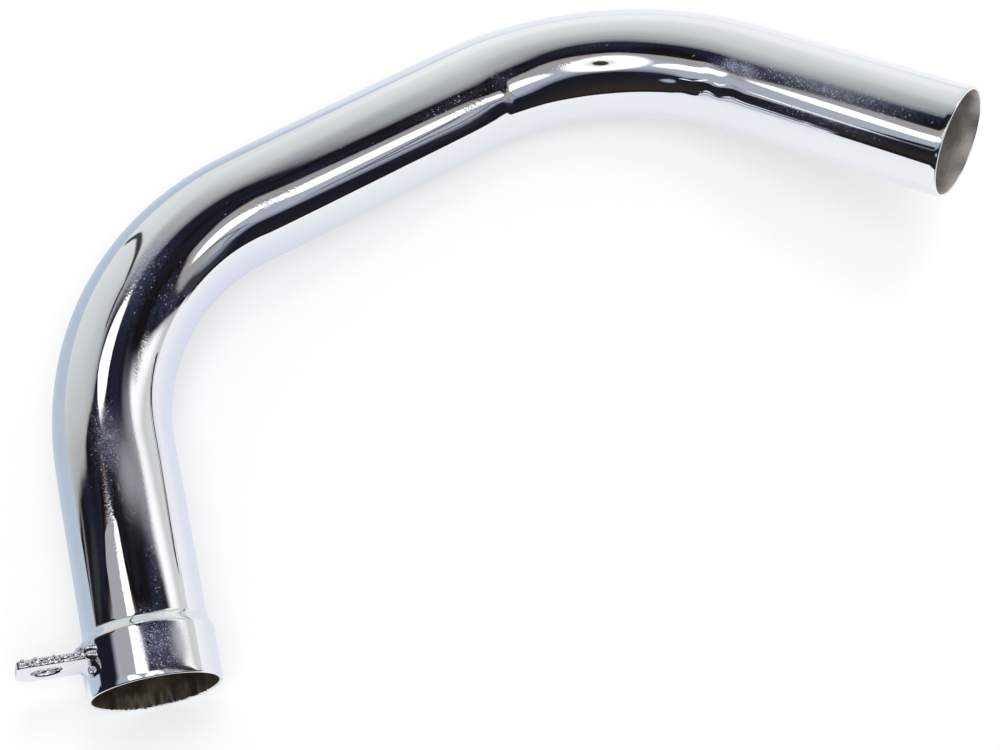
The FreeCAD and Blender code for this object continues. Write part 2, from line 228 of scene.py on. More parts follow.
rows = len(row_stations)
grid = np.arange(rows * AROUND).reshape(rows, AROUND)
next_row = np.roll(grid, -1, axis=0)
quads = np.stack([grid, np.roll(grid, -1, axis=1), np.roll(next_row, -1, axis=1), next_row], axis=-1)
tube_mesh = bpy.data.meshes.new("elbow_tube")
tube_mesh.from_pydata(skin.reshape(-1, 3).tolist(), [], quads.reshape(-1, 4).tolist())
tube_mesh.shade_smooth()
in_bore = np.zeros((rows, AROUND), dtype=np.int32)
in_bore[bore_first - 1:bore_last] = 1
tube_mesh.polygons.foreach_set("material_index", in_bore.ravel())
tube_uv = tube_mesh.uv_layers.new(name="around_and_along")
edge_around = np.linspace(-math.pi, math.pi, AROUND + 1) * TUBE_RADIUS
left = np.broadcast_to(edge_around[:-1], (rows, AROUND))
right = np.broadcast_to(edge_around[1:], (rows, AROUND))
low = np.broadcast_to(row_stations[:, None], (rows, AROUND))
high = np.roll(low, -1, axis=0)
corners = [np.stack(pair, axis=-1) for pair in ((left, low), (right, low), (right, high), (left, high))]
tube_uv.data.foreach_set("uv", np.stack(corners, axis=2).ravel())

# Marks in the plating, each with its station in mm, its side in degrees from the top, its half length
# in mm, its half width in degrees and its strength
scuff_places = (
    (10, 14, 16, 36, 1.9), (75, -2, 18, 20, 1.7), (60, -8, 10, 7, 0.8), (45, 21, 42, 9, 1.0),
    (132, 42, 26, 20, 0.6), (138, 0, 14, 9, 2.2), (190, 29, 34, 8, 0.4), (254, 25, 26, 10, 0.7),
    (277, 22, 8, 26, 0.7), (374, 28, 15, 11, 3.0), (408, 23, 46, 13, 1.7), (410, 54, 34, 9, 1.0),
    (318, 12, 44, 9, 0.3), (110, -14, 24, 9, 0.4), (230, 8, 44, 9, 0.4), (64, 10, 20, 16, 1.2),
    (130, 8, 24, 16, 0.8),
)
peel_places = (
    (56, -10, 10, 5, 1.0), (36, -11, 24, 5, 0.4), (66, 25, 34, 4, 0.5), (184, 32, 16, 6, 1.0),
    (262, 37, 12, 7, 1.0), (132, 1, 14, 8, 0.7), (300, 27, 26, 6, 0.3), (104, 31, 16, 5, 0.8),
)
worn_places = ((63, 14, 32, 22, 1.6), (9, 30, 12, 16, 1.0), (408, 24, 50, 16, 0.6))
for mark, places in (("scuffs", scuff_places), ("peel", peel_places), ("worn", worn_places)):
    strengths = np.zeros((rows, AROUND))
    for station, side, half_length, half_angle, strength in places:
        near = hump(row_stations, station * MM, half_length * MM)[:, None]
        facing = hump(np.degrees(around), side, half_angle)[None, :]
        strengths = np.maximum(strengths, strength * near * facing)
    tube_mesh.attributes.new(mark, "FLOAT", "POINT").data.foreach_set("value", strengths.ravel())
elbow_tube = bpy.data.objects.new("elbow_tube_skin", tube_mesh)
bpy.context.scene.collection.objects.link(elbow_tube)


class Wire:
    """An output in a shader or geometry tree. Sums on wires add Math nodes; make() adds any other node."""

    def __init__(self, tree, socket=None):
        self.tree = tree
        self.socket = socket

    def make(self, kind, settings=None, inputs=None, out=0):
        node = self.tree.nodes.new(kind)
        for name, value in (settings or {}).items():
            if name == "stops":
                for place in range(len(value) - len(node.color_ramp.elements)):
                    node.color_ramp.elements.new(place / len(value))
                for element, (position, colour) in zip(node.color_ramp.elements, value):
                    element.position = position
                    element.color = (*colour, 1)
            elif name == "points":
                curve = node.mapping.curves[0]
                for place in range(len(value) - len(curve.points)):
                    curve.points.new(place / len(value), 0)
                for point, location in zip(curve.points, value):
                    point.location = location
                node.mapping.update()
            else:
                setattr(node, name, value)
        for name, value in (inputs or {}).items():
            if isinstance(value, Wire):
                self.tree.links.new(value.socket, node.inputs[name])
            else:
                node.inputs[name].default_value = value
        return None if out is None else Wire(self.tree, node.outputs[out])

    def math(self, operation, *values):
        inputs = dict(enumerate(values))
        return self.make("ShaderNodeMath", {"operation": operation}, inputs)

    def __add__(self, other):
        return self.math("ADD", self, other)

    def __radd__(self, other):
        return self.math("ADD", other, self)

    def __sub__(self, other):
        return self.math("SUBTRACT", self, other)

    def __rsub__(self, other):
        return self.math("SUBTRACT", other, self)

    def __mul__(self, other):
        return self.math("MULTIPLY", self, other)

    def __rmul__(self, other):
        return self.math("MULTIPLY", other, self)

    def __truediv__(self, other):
        return self.math("DIVIDE", self, other)

    def __rtruediv__(self, other):
        return self.math("DIVIDE", other, self)

    def slope(self, start, end):
        """0 at start and 1 at end, eased at both."""
        settings = {"interpolation_type": "SMOOTHSTEP"}
        inputs = {"Value": self, "From Min": start, "From Max": end}
        return self.make("ShaderNodeMapRange", settings, inputs)

    def mix(self, first, second):
        """Two colours mixed, with this wire as the second one's share."""
        return self.make("ShaderNodeMix", {"data_type": "RGBA"}, {0: self, 6: first, 7: second}, 2)


def colour(red, green, blue):
    return (red, green, blue, 1.0)


def start_material(name):
    material = bpy.data.materials.new(name)
    material.use_nodes = True
    material.node_tree.nodes.clear()
    return material, Wire(material.node_tree)


def finish_material(material, shader):
    shader.make("ShaderNodeOutputMaterial", inputs={"Surface": shader}, out=None)


def chrome_plating(name, tint, roughness, unevenness, speck_size):
    """Bright plating with slight polishing waves, clusters of pits, orange peel, haze and worn places."""
    material, wire = start_material(name)
    place = wire.make("ShaderNodeTexCoord", out="Object")

    def noise(size, detail=2.0):
        return wire.make("ShaderNodeTexNoise", inputs={"Vector": place, "Scale": 1 / size, "Detail": detail})

    peel = wire.make("ShaderNodeAttribute", {"attribute_name": "peel"}, out="Fac")
    scuffs = wire.make("ShaderNodeAttribute", {"attribute_name": "scuffs"}, out="Fac")
    worn = wire.make("ShaderNodeAttribute", {"attribute_name": "worn"}, out="Fac")
    scuffed = scuffs * (noise(3.0 * MM, 3.0).slope(0.25, 0.65) * 0.4 + 0.6)
    cell = {"Vector": place, "Scale": 1 / (2.4 * speck_size)}
    nearest = wire.make("ShaderNodeTexVoronoi", inputs=cell, out="Distance")
    chance = wire.make("ShaderNodeTexVoronoi", inputs=cell, out="Color")
    chosen = wire.make("ShaderNodeSeparateColor", inputs={"Color": chance}, out="Red")
    clustered = noise(16 * MM).slope(0.5, 0.74) * 0.05 + scuffed * 0.30
    grains = nearest.slope(0.36, 0.10) * (clustered - chosen).slope(0.0, 0.05)
    waves = noise(9 * MM) * (22 * unevenness) + noise(1.7 * MM) * (1.6 * unevenness)
    height = waves + grains * (0.16 * speck_size) + peel * noise(0.65 * MM, 1.0) * (0.09 * MM)
    bump = wire.make("ShaderNodeBump", inputs={
        "Strength": 1.0, "Distance": 1.0, "Height": height}, out="Normal")
    dullness = noise(24 * MM).slope(0.3, 0.8) * 0.02 + scuffed * 0.085 + worn * 0.2 + roughness
    bright = wire.make("ShaderNodeBsdfPrincipled", inputs={
        "Base Color": tint, "Metallic": 1.0, "Roughness": dullness, "Normal": bump})
    haze_tint = colour(0.50, 0.56, 0.92)
    haze_roughness = 0.6
    hazy = wire.make("ShaderNodeBsdfPrincipled", inputs={
        "Base Color": haze_tint, "Metallic": 1.0, "Roughness": haze_roughness, "Normal": bump})
    haze = scuffed * (noise(0.55 * MM, 1.0).slope(0.5, 0.68) * 0.22 + 0.09)
    finish_material(material, wire.make("ShaderNodeMixShader", inputs={0: haze, 1: bright, 2: hazy}))
    return material


BORE_LIGHTER_START = 90 * MM
BORE_LIGHTER_FULL = 15 * MM
DRAW_LINES_PER_M = (2200, 60, 1)


def bare_bore(name):
    """Unplated steel inside: brown and blotched, with draw lines along it, and lighter towards the outlet."""
    material, wire = start_material(name)
    place = wire.make("ShaderNodeTexCoord", out="Object")
    unrolled = wire.make("ShaderNodeUVMap", {"uv_map": "around_and_along"})
    along = wire.make("ShaderNodeSeparateXYZ", inputs={"Vector": unrolled}, out="Y")
    stretched = wire.make(
        "ShaderNodeVectorMath", {"operation": "MULTIPLY"}, {0: unrolled, 1: DRAW_LINES_PER_M})
    lines = wire.make("ShaderNodeTexNoise", inputs={"Vector": stretched, "Scale": 1.0, "Detail": 2.0})
    blotches = wire.make("ShaderNodeTexNoise", inputs={"Vector": place, "Scale": 1 / (7 * MM), "Detail": 4.0})
    brown = blotches.slope(0.35, 0.7).mix(colour(0.10, 0.078, 0.058), colour(0.21, 0.17, 0.135))
    brown = (lines.slope(0.58, 0.75) * 0.12).mix(brown, colour(0.42, 0.38, 0.33))
    # Lighter steel over the last length towards the outlet.
    bright = along.slope(TUBE_LENGTH - BORE_LIGHTER_START, TUBE_LENGTH - BORE_LIGHTER_FULL)
    outlet_steel = blotches.slope(0.35, 0.7).mix(colour(0.42, 0.39, 0.36), colour(0.62, 0.58, 0.54))
    steel = bright.mix(brown, outlet_steel)
    dents = wire.make("ShaderNodeTexNoise", inputs={"Vector": place, "Scale": 1 / (2.2 * MM), "Detail": 3.0})
    height = lines * (0.005 * MM) + blotches * (0.025 * MM) + bright * dents * (0.14 * MM)
    bump = wire.make("ShaderNodeBump", inputs={
        "Strength": 1.0, "Distance": 1.0, "Height": height}, out="Normal")
    shader = wire.make("ShaderNodeBsdfPrincipled", inputs={
        "Base Color": steel, "Metallic": 0.75, "Roughness": blotches * 0.3 + 0.27, "Normal": bump})
    finish_material(material, shader)
    return material


tube_mesh.materials.append(chrome_plating("tube_chrome", colour(0.84, 0.85, 0.87), 0.025, 0.5e-6, 0.22 * MM))
tube_mesh.materials.append(bare_bore("bore_steel"))
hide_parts("elbow_tube")
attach(elbow_tube, "root")

# Mounting lug. A plate sheared from 2.5 mm strip, with one punched hole for a bolt, standing edge-on to the
# socket's side. Its upper edge is left as the shears tore it, and the plating has grown into grains along it.
LUG_PAST_HOLE = 9.0 * MM
LUG_WIDTH = 17.5 * MM
LUG_UPPER_CORNER = 1.5 * MM
LUG_LOWER_CORNER = 6.0 * MM
LUG_SUNK = 0.3 * MM
LUG_STEP = 0.35 * MM
LUG_BEVEL = 0.25 * MM
lug_thickness = mount_size("lug_hole", "length_mm")
hole_radius = mount_size("lug_hole", "r_mm")
hole_middle = np.array(mounts["lug_hole"]["pos_m"])
lug_face_way = np.array(mounts["lug_hole"]["axis"])
hole_offset = hole_middle - mouth
hole_offset -= (hole_offset @ lug_face_way) * lug_face_way
hole_reach = np.linalg.norm(hole_offset)
lug_out = hole_offset / hole_reach
lug_up = np.cross(lug_out, lug_face_way)


def lug_line(start, end):
    return np.linspace(start, end, max(2, round(math.dist(start, end) / LUG_STEP)), endpoint=False)


def lug_corner(middle, radius, start, end):
    turn = np.radians(np.linspace(start, end, max(3, round(2 * radius / LUG_STEP)), endpoint=False))
    return np.array(middle) + radius * np.stack([np.cos(turn), np.sin(turn)], axis=-1)


half_width = LUG_WIDTH / 2
root_rise = np.linspace(-half_width, half_width, round(LUG_WIDTH / LUG_STEP), endpoint=False)
root = np.stack([np.sqrt((SOCKET_RADIUS - LUG_SUNK) ** 2 - root_rise ** 2) - hole_reach, root_rise], axis=-1)
upper_side = lug_line((root[0, 0], half_width), (LUG_PAST_HOLE - LUG_UPPER_CORNER, half_width))
outline = np.concatenate([
    upper_side,
    lug_corner((LUG_PAST_HOLE - LUG_UPPER_CORNER, half_width - LUG_UPPER_CORNER), LUG_UPPER_CORNER, 90, 0),
    lug_line((LUG_PAST_HOLE, half_width - LUG_UPPER_CORNER), (LUG_PAST_HOLE, LUG_LOWER_CORNER - half_width)),
    lug_corner((LUG_PAST_HOLE - LUG_LOWER_CORNER, LUG_LOWER_CORNER - half_width), LUG_LOWER_CORNER, 0, -90),
    lug_line((LUG_PAST_HOLE - LUG_LOWER_CORNER, -half_width), (root[0, 0], -half_width)),
    root,
])
ahead = np.roll(outline, -1, axis=0) - np.roll(outline, 1, axis=0)
outline_out = np.stack([-ahead[:, 1], ahead[:, 0]], axis=-1) / np.linalg.norm(ahead, axis=1, keepdims=True)
hole_out = outline / np.linalg.norm(outline, axis=1, keepdims=True)
torn = np.zeros(len(outline))
torn[:len(upper_side)] = 1.0

SIDE_ROWS = 7
HOLD = 0.12 * MM
TEAR_DEPTH = 0.28 * MM
half_thick = lug_thickness / 2
side_depths = np.linspace(half_thick - LUG_BEVEL, LUG_BEVEL - half_thick, SIDE_ROWS)
tears = np.random.default_rng(7).normal(0.0, 1.0, (SIDE_ROWS, len(outline)))
tears = (tears + np.roll(tears, 1, axis=1) + np.roll(tears, 1, axis=0)) / 3
hole_wall = hole_radius * hole_out
hole_edge = (hole_radius + LUG_BEVEL) * hole_out
hole_hold = (hole_radius + LUG_BEVEL + HOLD) * hole_out
face_hold = outline - (LUG_BEVEL + HOLD) * outline_out
face_edge = outline - LUG_BEVEL * outline_out
lug_rows = [
    (hole_wall, half_thick - LUG_BEVEL), (hole_edge, half_thick), (hole_hold, half_thick),
    (face_hold, half_thick), (face_edge, half_thick)]
side_first = len(lug_rows)
for depth, tear in zip(side_depths, tears):
    lug_rows.append((outline + (TEAR_DEPTH * tear * torn)[:, None] * outline_out, depth))
lug_rows += [
    (face_edge, -half_thick), (face_hold, -half_thick), (hole_hold, -half_thick),
    (hole_edge, -half_thick), (hole_wall, LUG_BEVEL - half_thick)]
lug_points = np.stack([
    hole_middle + plan[:, :1] * lug_out + plan[:, 1:] * lug_up + depth * lug_face_way
    for plan, depth in lug_rows])
lug_grid = np.arange(len(lug_rows) * len(outline)).reshape(len(lug_rows), len(outline))
lug_next = np.roll(lug_grid, -1, axis=0)
lug_quads = np.stack([
    lug_grid, lug_next, np.roll(lug_next, -1, axis=1), np.roll(lug_grid, -1, axis=1)], axis=-1)
lug_mesh = bpy.data.meshes.new("mounting_lug")
lug_mesh.from_pydata(lug_points.reshape(-1, 3).tolist(), [], lug_quads.reshape(-1, 4).tolist())
lug_mesh.shade_smooth()
on_torn_side = np.zeros(lug_grid.shape)
on_torn_side[side_first:side_first + SIDE_ROWS] = torn
lug_mesh.attributes.new("torn", "FLOAT", "POINT").data.foreach_set("value", on_torn_side.ravel())
mounting_lug = bpy.data.objects.new("mounting_lug_plate", lug_mesh)
bpy.context.scene.collection.objects.link(mounting_lug)
lug_chrome = chrome_plating("lug_chrome", colour(0.82, 0.83, 0.85), 0.05, 1.6e-6, 0.30 * MM)
lug_mesh.materials.append(lug_chrome)


def start_tree(name, *wanted):
    """A geometry tree with a geometry going in and out, and the inputs that are wanted besides."""
    tree = bpy.data.node_groups.new(name, "GeometryNodeTree")
    tree.interface.new_socket("Geometry", in_out="OUTPUT", socket_type="NodeSocketGeometry")
    for label, kind in (("Geometry", "Geometry"), ("Material", "Material"), ("Seed", "Int"), *wanted):
        tree.interface.new_socket(label, in_out="INPUT", socket_type="NodeSocket" + kind)
    group_input = tree.nodes.new("NodeGroupInput")
    return tree, {socket.name: Wire(tree, socket) for socket in group_input.outputs if socket.name}


def finish_tree(instances, material):
    made = instances.make("GeometryNodeRealizeInstances", inputs={"Geometry": instances})
    made = made.make("GeometryNodeSetMaterial", inputs={"Geometry": made, "Material": material})
    made.make("NodeGroupOutput", inputs={"Geometry": made}, out=None)


def grown(source, tree, **values):
    """The mesh that a tree makes from an object."""
    modifier = source.modifiers.new(tree.name, "NODES")
    modifier.node_group = tree
    for item in tree.interface.items_tree:
        if item.in_out == "INPUT" and item.name in values:
            modifier[item.identifier] = values[item.name]
    made = bpy.data.meshes.new_from_object(source.evaluated_get(bpy.context.evaluated_depsgraph_get()))
    source.modifiers.remove(modifier)
    return made


GRAIN_SPACING = 0.95 * MM
GRAIN_LEAST = 0.3 * MM
GRAIN_MOST = 0.65 * MM
GRAINS_PER_M2 = 4e6
grain_tree, given = start_tree("edge_grains", ("Spacing", "Float"), ("Least", "Float"), ("Most", "Float"))
wire = given["Geometry"]
on_edge = wire.make("GeometryNodeInputNamedAttribute", {"data_type": "FLOAT"}, {"Name": "torn"})
points = wire.make("GeometryNodeDistributePointsOnFaces", {"distribute_method": "POISSON"}, {
    "Mesh": given["Geometry"], "Selection": on_edge, "Distance Min": given["Spacing"],
    "Density Max": GRAINS_PER_M2, "Seed": given["Seed"]})
ball = wire.make("GeometryNodeMeshIcoSphere", inputs={"Radius": 1.0, "Subdivisions": 3})
ball = wire.make("GeometryNodeSetShadeSmooth", inputs={"Geometry": ball})
size = wire.make("FunctionNodeRandomValue", {"data_type": "FLOAT"}, {
    2: given["Least"], 3: given["Most"], "Seed": given["Seed"]}, 1)
finish_tree(wire.make("GeometryNodeInstanceOnPoints", inputs={
    "Points": points, "Instance": ball, "Scale": size}), given["Material"])
grains_mesh = grown(
    mounting_lug, grain_tree, Material=lug_chrome, Seed=3, Spacing=GRAIN_SPACING, Least=GRAIN_LEAST,
    Most=GRAIN_MOST)
edge_grains = bpy.data.objects.new("lug_edge_grains", grains_mesh)
bpy.context.scene.collection.objects.link(edge_grains)
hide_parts("mounting_lug")
for piece in (mounting_lug, edge_grains):
    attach(piece, "root")

# Lug weld. A short bead laid by hand round the lug's root, down its back and a little way round both edges,
# in overlapping puddles that run together; it is plated over with the rest.
BEAD_RADIUS = 1.75 * MM
PUDDLE_SPACING = 1.7 * MM
PUDDLE_UNEVENNESS = 0.22
PUDDLE_FLATNESS = 0.8
PUDDLE_VOXEL = 0.22 * MM
BEAD_FRONT = 0.7 * MM
BEAD_BEHIND = 0.7 * MM
BEAD_RAISED = 0.5 * MM
BEAD_PAST_EDGE = 0.9 * MM
BEAD_STEPS = 24
bead_back = -half_thick - BEAD_BEHIND
bead_reach = SOCKET_RADIUS + BEAD_RAISED
bead_turn = math.asin(half_width / SOCKET_RADIUS) + BEAD_PAST_EDGE / SOCKET_RADIUS
bead_path = [(bead_turn, BEAD_FRONT)]
bead_path += [(turn, bead_back) for turn in np.linspace(bead_turn, -bead_turn, BEAD_STEPS)]
bead_path += [(-bead_turn, BEAD_FRONT)]
bead_curve = bpy.data.curves.new("bead_path", "CURVE")
bead_curve.dimensions = "3D"
bead_line = bead_curve.splines.new("POLY")
bead_line.points.add(len(bead_path) - 1)
socket_middle = hole_middle - hole_offset
for point, (turn, depth) in zip(bead_line.points, bead_path):
    sideways = math.cos(turn) * lug_out + math.sin(turn) * lug_up
    point.co = (*(socket_middle + bead_reach * sideways + depth * lug_face_way), 1.0)
bead = bpy.data.objects.new("bead_path", bead_curve)
bpy.context.scene.collection.objects.link(bead)
weld_chrome = chrome_plating("weld_chrome", colour(0.74, 0.75, 0.77), 0.09, 3.0e-6, 0.35 * MM)
puddle_tree, given = start_tree(
    "weld_puddles", ("Spacing", "Float"), ("Radius", "Float"), ("Unevenness", "Float"))
wire = given["Geometry"]
stops = wire.make("GeometryNodeCurveToPoints", {"mode": "LENGTH"}, {
    "Curve": given["Geometry"], "Length": given["Spacing"]}, "Points")
stop_turns = Wire(puddle_tree, stops.socket.node.outputs["Rotation"])
puddle = wire.make("GeometryNodeMeshIcoSphere", inputs={"Radius": given["Radius"], "Subdivisions": 4})
spread = wire.make("FunctionNodeRandomValue", {"data_type": "FLOAT"}, {
    2: 1.0 - given["Unevenness"], 3: 1.0 + given["Unevenness"], "Seed": given["Seed"]}, 1)
shape = wire.make("ShaderNodeCombineXYZ", inputs={"X": spread, "Y": spread, "Z": PUDDLE_FLATNESS})
finish_tree(wire.make("GeometryNodeInstanceOnPoints", inputs={
    "Points": stops, "Instance": puddle, "Rotation": stop_turns, "Scale": shape}), given["Material"])
puddles_mesh = grown(
    bead, puddle_tree, Material=weld_chrome, Seed=5, Spacing=PUDDLE_SPACING, Radius=BEAD_RADIUS,
    Unevenness=PUDDLE_UNEVENNESS)
lug_weld = bpy.data.objects.new("lug_weld_bead", puddles_mesh)
bpy.context.scene.collection.objects.link(lug_weld)
bpy.data.objects.remove(bead)
run_together = lug_weld.modifiers.new("run_together", "REMESH")
run_together.mode = "VOXEL"
run_together.voxel_size = PUDDLE_VOXEL
weld_mesh = bpy.data.meshes.new_from_object(lug_weld.evaluated_get(bpy.context.evaluated_depsgraph_get()))
lug_weld.modifiers.remove(run_together)
lug_weld.data = weld_mesh
weld_mesh.materials.clear()
weld_mesh.materials.append(weld_chrome)
weld_mesh.shade_smooth()
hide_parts("lug_weld")
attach(lug_weld, "root")

# Floor, the white sheet that the elbow lies on. The soft shadow on it is kept weak by a share of its colour
# that glows evenly white to the camera and in the chrome. Only in the chrome is its colour painted: a painted
# reflection, bluer and, as painted shade, dimmer to the west, and painted dark past the sheet's east and
# south edges to stand for the dark room.
FLOOR_REACH = 4.0
FLOOR_TINTED = 0.4
SHEET_EAST = 0.170
SHEET_SOUTH = -0.150
SHEET_SOFT = 0.015
SHEET_NEAR_HALF = 0.02
FLOOR_GLOW = 0.5
FLOOR_WHITE = 1.03
floor_corners = ((-1, -1), (1, -1), (1, 1), (-1, 1))
floor_mesh = bpy.data.meshes.new("floor")
floor_mesh.from_pydata([(x * FLOOR_REACH, y * FLOOR_REACH, 0) for x, y in floor_corners], [], [(0, 1, 2, 3)])
floor = bpy.data.objects.new("floor", floor_mesh)
bpy.context.scene.collection.objects.link(floor)
floor_material, wire = start_material("floor_white")
spot = wire.make("ShaderNodeTexCoord", out="Object")
from_west = wire.make("ShaderNodeSeparateXYZ", inputs={"Vector": spot}, out="X") / FLOOR_TINTED + 0.5
floor_north = wire.make("ShaderNodeSeparateXYZ", inputs={"Vector": spot}, out="Y")
in_front = floor_north.slope(-0.122, -0.134) * from_west.slope(0.09, 0.15)
# Painted reflection, only for rays from the chrome: bluer and darker to the west as painted shade, paler in
# front.
painted_reflection_tint = wire.make("ShaderNodeValToRGB", {"stops": (
    (0.0, (0.52, 0.60, 0.70)), (0.12, (0.58, 0.67, 0.78)), (0.25, (0.80, 0.85, 0.95)),
    (0.5, (0.94, 0.96, 1.0)), (0.75, (1.0, 1.0, 1.03)),
)}, {"Fac": from_west + in_front})
# Painted dark room: past the sheet's east and south edges the floor is painted near black in the chrome.
past_east = (from_west - 0.5).slope(SHEET_EAST / FLOOR_TINTED, (SHEET_EAST + SHEET_SOFT) / FLOOR_TINTED)
painted_dark_room = past_east * floor_north.slope(SHEET_NEAR_HALF, -SHEET_NEAR_HALF)
past_south = floor_north.slope(SHEET_SOUTH, SHEET_SOUTH - SHEET_SOFT)
painted_dark_room = painted_dark_room.math("MAXIMUM", painted_dark_room, past_south)
painted_reflection_tint = painted_dark_room.mix(painted_reflection_tint, colour(0.015, 0.014, 0.017))
in_mirror = wire.make("ShaderNodeLightPath", out="Is Glossy Ray")
through_glass = wire.make("ShaderNodeLightPath", out="Is Transmission Ray")
to_camera = wire.make("ShaderNodeLightPath", out="Is Camera Ray")
tint = in_mirror.mix(colour(1.0, 1.0, 1.0), painted_reflection_tint)
lit = wire.make("ShaderNodeBsdfDiffuse", inputs={"Color": tint})
glow = wire.make("ShaderNodeEmission", inputs={"Color": tint, "Strength": FLOOR_WHITE})
seen_share = (in_mirror + through_glass + to_camera) * FLOOR_GLOW
finish_material(floor_material, wire.make("ShaderNodeMixShader", inputs={0: seen_share, 1: lit, 2: glow}))
floor_mesh.materials.append(floor_material)

# Light tent, a dome over the floor that only the chrome sees. It glows and lights nothing, so all its colours
# are painted
# reflections of the studio: a bank of lamps overhead on the near side with thin bars across it, a dark slot
# across the top, pale cloth walls behind and beside with a seam on the west, and the dark room in front. Its
# plan has east and north from
# -1 to 1 at the floor.
TENT_RADIUS = 0.6
tent_mesh = bpy.data.meshes.new("tent")
shell = bmesh.new()
bmesh.ops.create_icosphere(shell, subdivisions=5, radius=TENT_RADIUS)
shell.to_mesh(tent_mesh)
shell.free()
tent_mesh.shade_smooth()
tent = bpy.data.objects.new("tent", tent_mesh)
bpy.context.scene.collection.objects.link(tent)


def show_only_in_chrome(piece):
    piece.visible_camera = False
    piece.visible_diffuse = False
    piece.visible_shadow = False
    piece.visible_transmission = False


show_only_in_chrome(tent)
tent_material, wire = start_material("tent_painted_reflections")
tent_material.cycles.emission_sampling = "NONE"
place = wire.make("ShaderNodeTexCoord", out="Object")
east_raw, north_raw, height = (
    wire.make("ShaderNodeSeparateXYZ", inputs={"Vector": place}, out=axis) for axis in "XYZ")
east = east_raw / (height + TENT_RADIUS)
north = north_raw / (height + TENT_RADIUS)


def edge_over_east(*points):
    """How far north an edge in the tent's plan lies over its way east, both from -1 to 1."""
    halved = [((x + 1) / 2, (y + 1) / 2) for x, y in points]
    curve = wire.make("ShaderNodeFloatCurve", {"points": halved}, {"Value": (east + 1.0) * 0.5})
    return curve * 2.0 - 1.0


def patch(x, y, half_length, half_width, soft, turn=0.0):
    """1 inside an ellipse of the plan, falling to 0 over its soft edge. turn is its length's, from east."""
    turn = math.radians(turn)
    far_along = ((east - x) * math.cos(turn) + (north - y) * math.sin(turn)) / half_length
    far_across = ((north - y) * math.cos(turn) - (east - x) * math.sin(turn)) / half_width
    return (far_along * far_along + far_across * far_across).slope(1 + soft, 1 - soft)


slot_top = edge_over_east(
    (-1, -0.15), (-0.89, -0.118), (-0.73, -0.085), (-0.55, -0.043), (-0.43, 0.029), (-0.34, 0.08),
    (-0.30, 0.13), (-0.26, 0.17), (-0.12, 0.165), (-0.03, 0.20), (0.03, 0.18), (0.08, 0.15), (0.17, 0.156),
    (0.26, 0.17), (0.33, 0.184), (0.42, 0.178), (0.67, 0.145), (0.85, 0.105), (1, 0.05))
slot_foot = edge_over_east(
    (-1, -0.20), (-0.55, -0.14), (-0.40, -0.058), (-0.34, -0.02), (-0.29, 0.0), (-0.24, -0.028),
    (-0.17, -0.035), (-0.1, -0.02), (-0.05, 0.005), (0, 0.015), (0.06, 0.03), (0.12, 0.028), (0.17, 0.012),
    (0.21, 0.012), (0.255, 0.012), (0.3, 0.026), (0.37, 0.02), (0.46, 0.03), (0.6, 0.03), (1, 0.0))
lamp_foot = edge_over_east(
    (-1, -0.30), (-0.6, -0.37), (-0.43, -0.45), (-0.33, -0.445), (-0.215, -0.405), (-0.09, -0.385),
    (0.03, -0.36), (0.165, -0.328), (0.28, -0.337), (0.43, -0.355), (0.52, -0.312), (0.6, -0.285),
    (0.65, -0.235), (0.69, -0.18), (0.76, -0.11), (1, -0.1))
above_slot = north - slot_top
below_slot = slot_foot - north
shade = wire.make("ShaderNodeTexNoise", inputs={"Vector": place, "Scale": 9.0, "Detail": 3.0})
slot_dark = shade.slope(0.35, 0.65).mix(colour(0.009, 0.008, 0.008), colour(0.016, 0.018, 0.034))
# Painted light on the cloth walls: dark next to the slot, lightening to white high above it, and evened to
# grey at the sides.
cloth = wire.make("ShaderNodeValToRGB", {"stops": (
    (0.0, (0.0, 0.0, 0.0)), (0.004, (0.02, 0.02, 0.03)), (0.02, (0.22, 0.23, 0.25)),
    (0.066, (0.38, 0.40, 0.41)), (0.38, (0.66, 0.69, 0.68)), (0.88, (0.84, 0.87, 0.86)),
    (1.0, (0.98, 1.0, 0.98)),
)}, {"Fac": above_slot.slope(-0.02, 0.62)})
beside = east.math("ABSOLUTE", east).slope(0.22, 0.42) * 0.6
cloth = beside.mix(cloth, colour(0.72, 0.75, 0.73))
# Painted highlight: a rim brighter than white on the east wall just above the slot.
east_rim = above_slot.slope(0.0, 0.05) * above_slot.slope(0.22, 0.08)
east_rim = east_rim * east.slope(0.18, 0.28) * east.slope(0.9, 0.6)
cloth = east_rim.mix(cloth, colour(1.15, 1.15, 1.15))
seam_line = edge_over_east(
    (-1, 0.70), (-0.702, 0.556), (-0.582, 0.496), (-0.466, 0.402), (-0.378, 0.328), (-0.332, 0.28),
    (-0.298, 0.242), (-0.26, 0.20), (1, 0.2))
seam = north.math("ABSOLUTE", north - seam_line).slope(0.020, 0.008)
seam = seam * east.slope(-0.78, -0.70) * east.slope(-0.28, -0.31)
seam = seam.math("MAXIMUM", seam, patch(-0.312, 0.205, 0.04, 0.014, 0.5, 70))
cloth = seam.mix(cloth, colour(0.05, 0.05, 0.06))
in_slot = above_slot.slope(0.01, -0.01)
cloth = in_slot.mix(cloth, slot_dark)
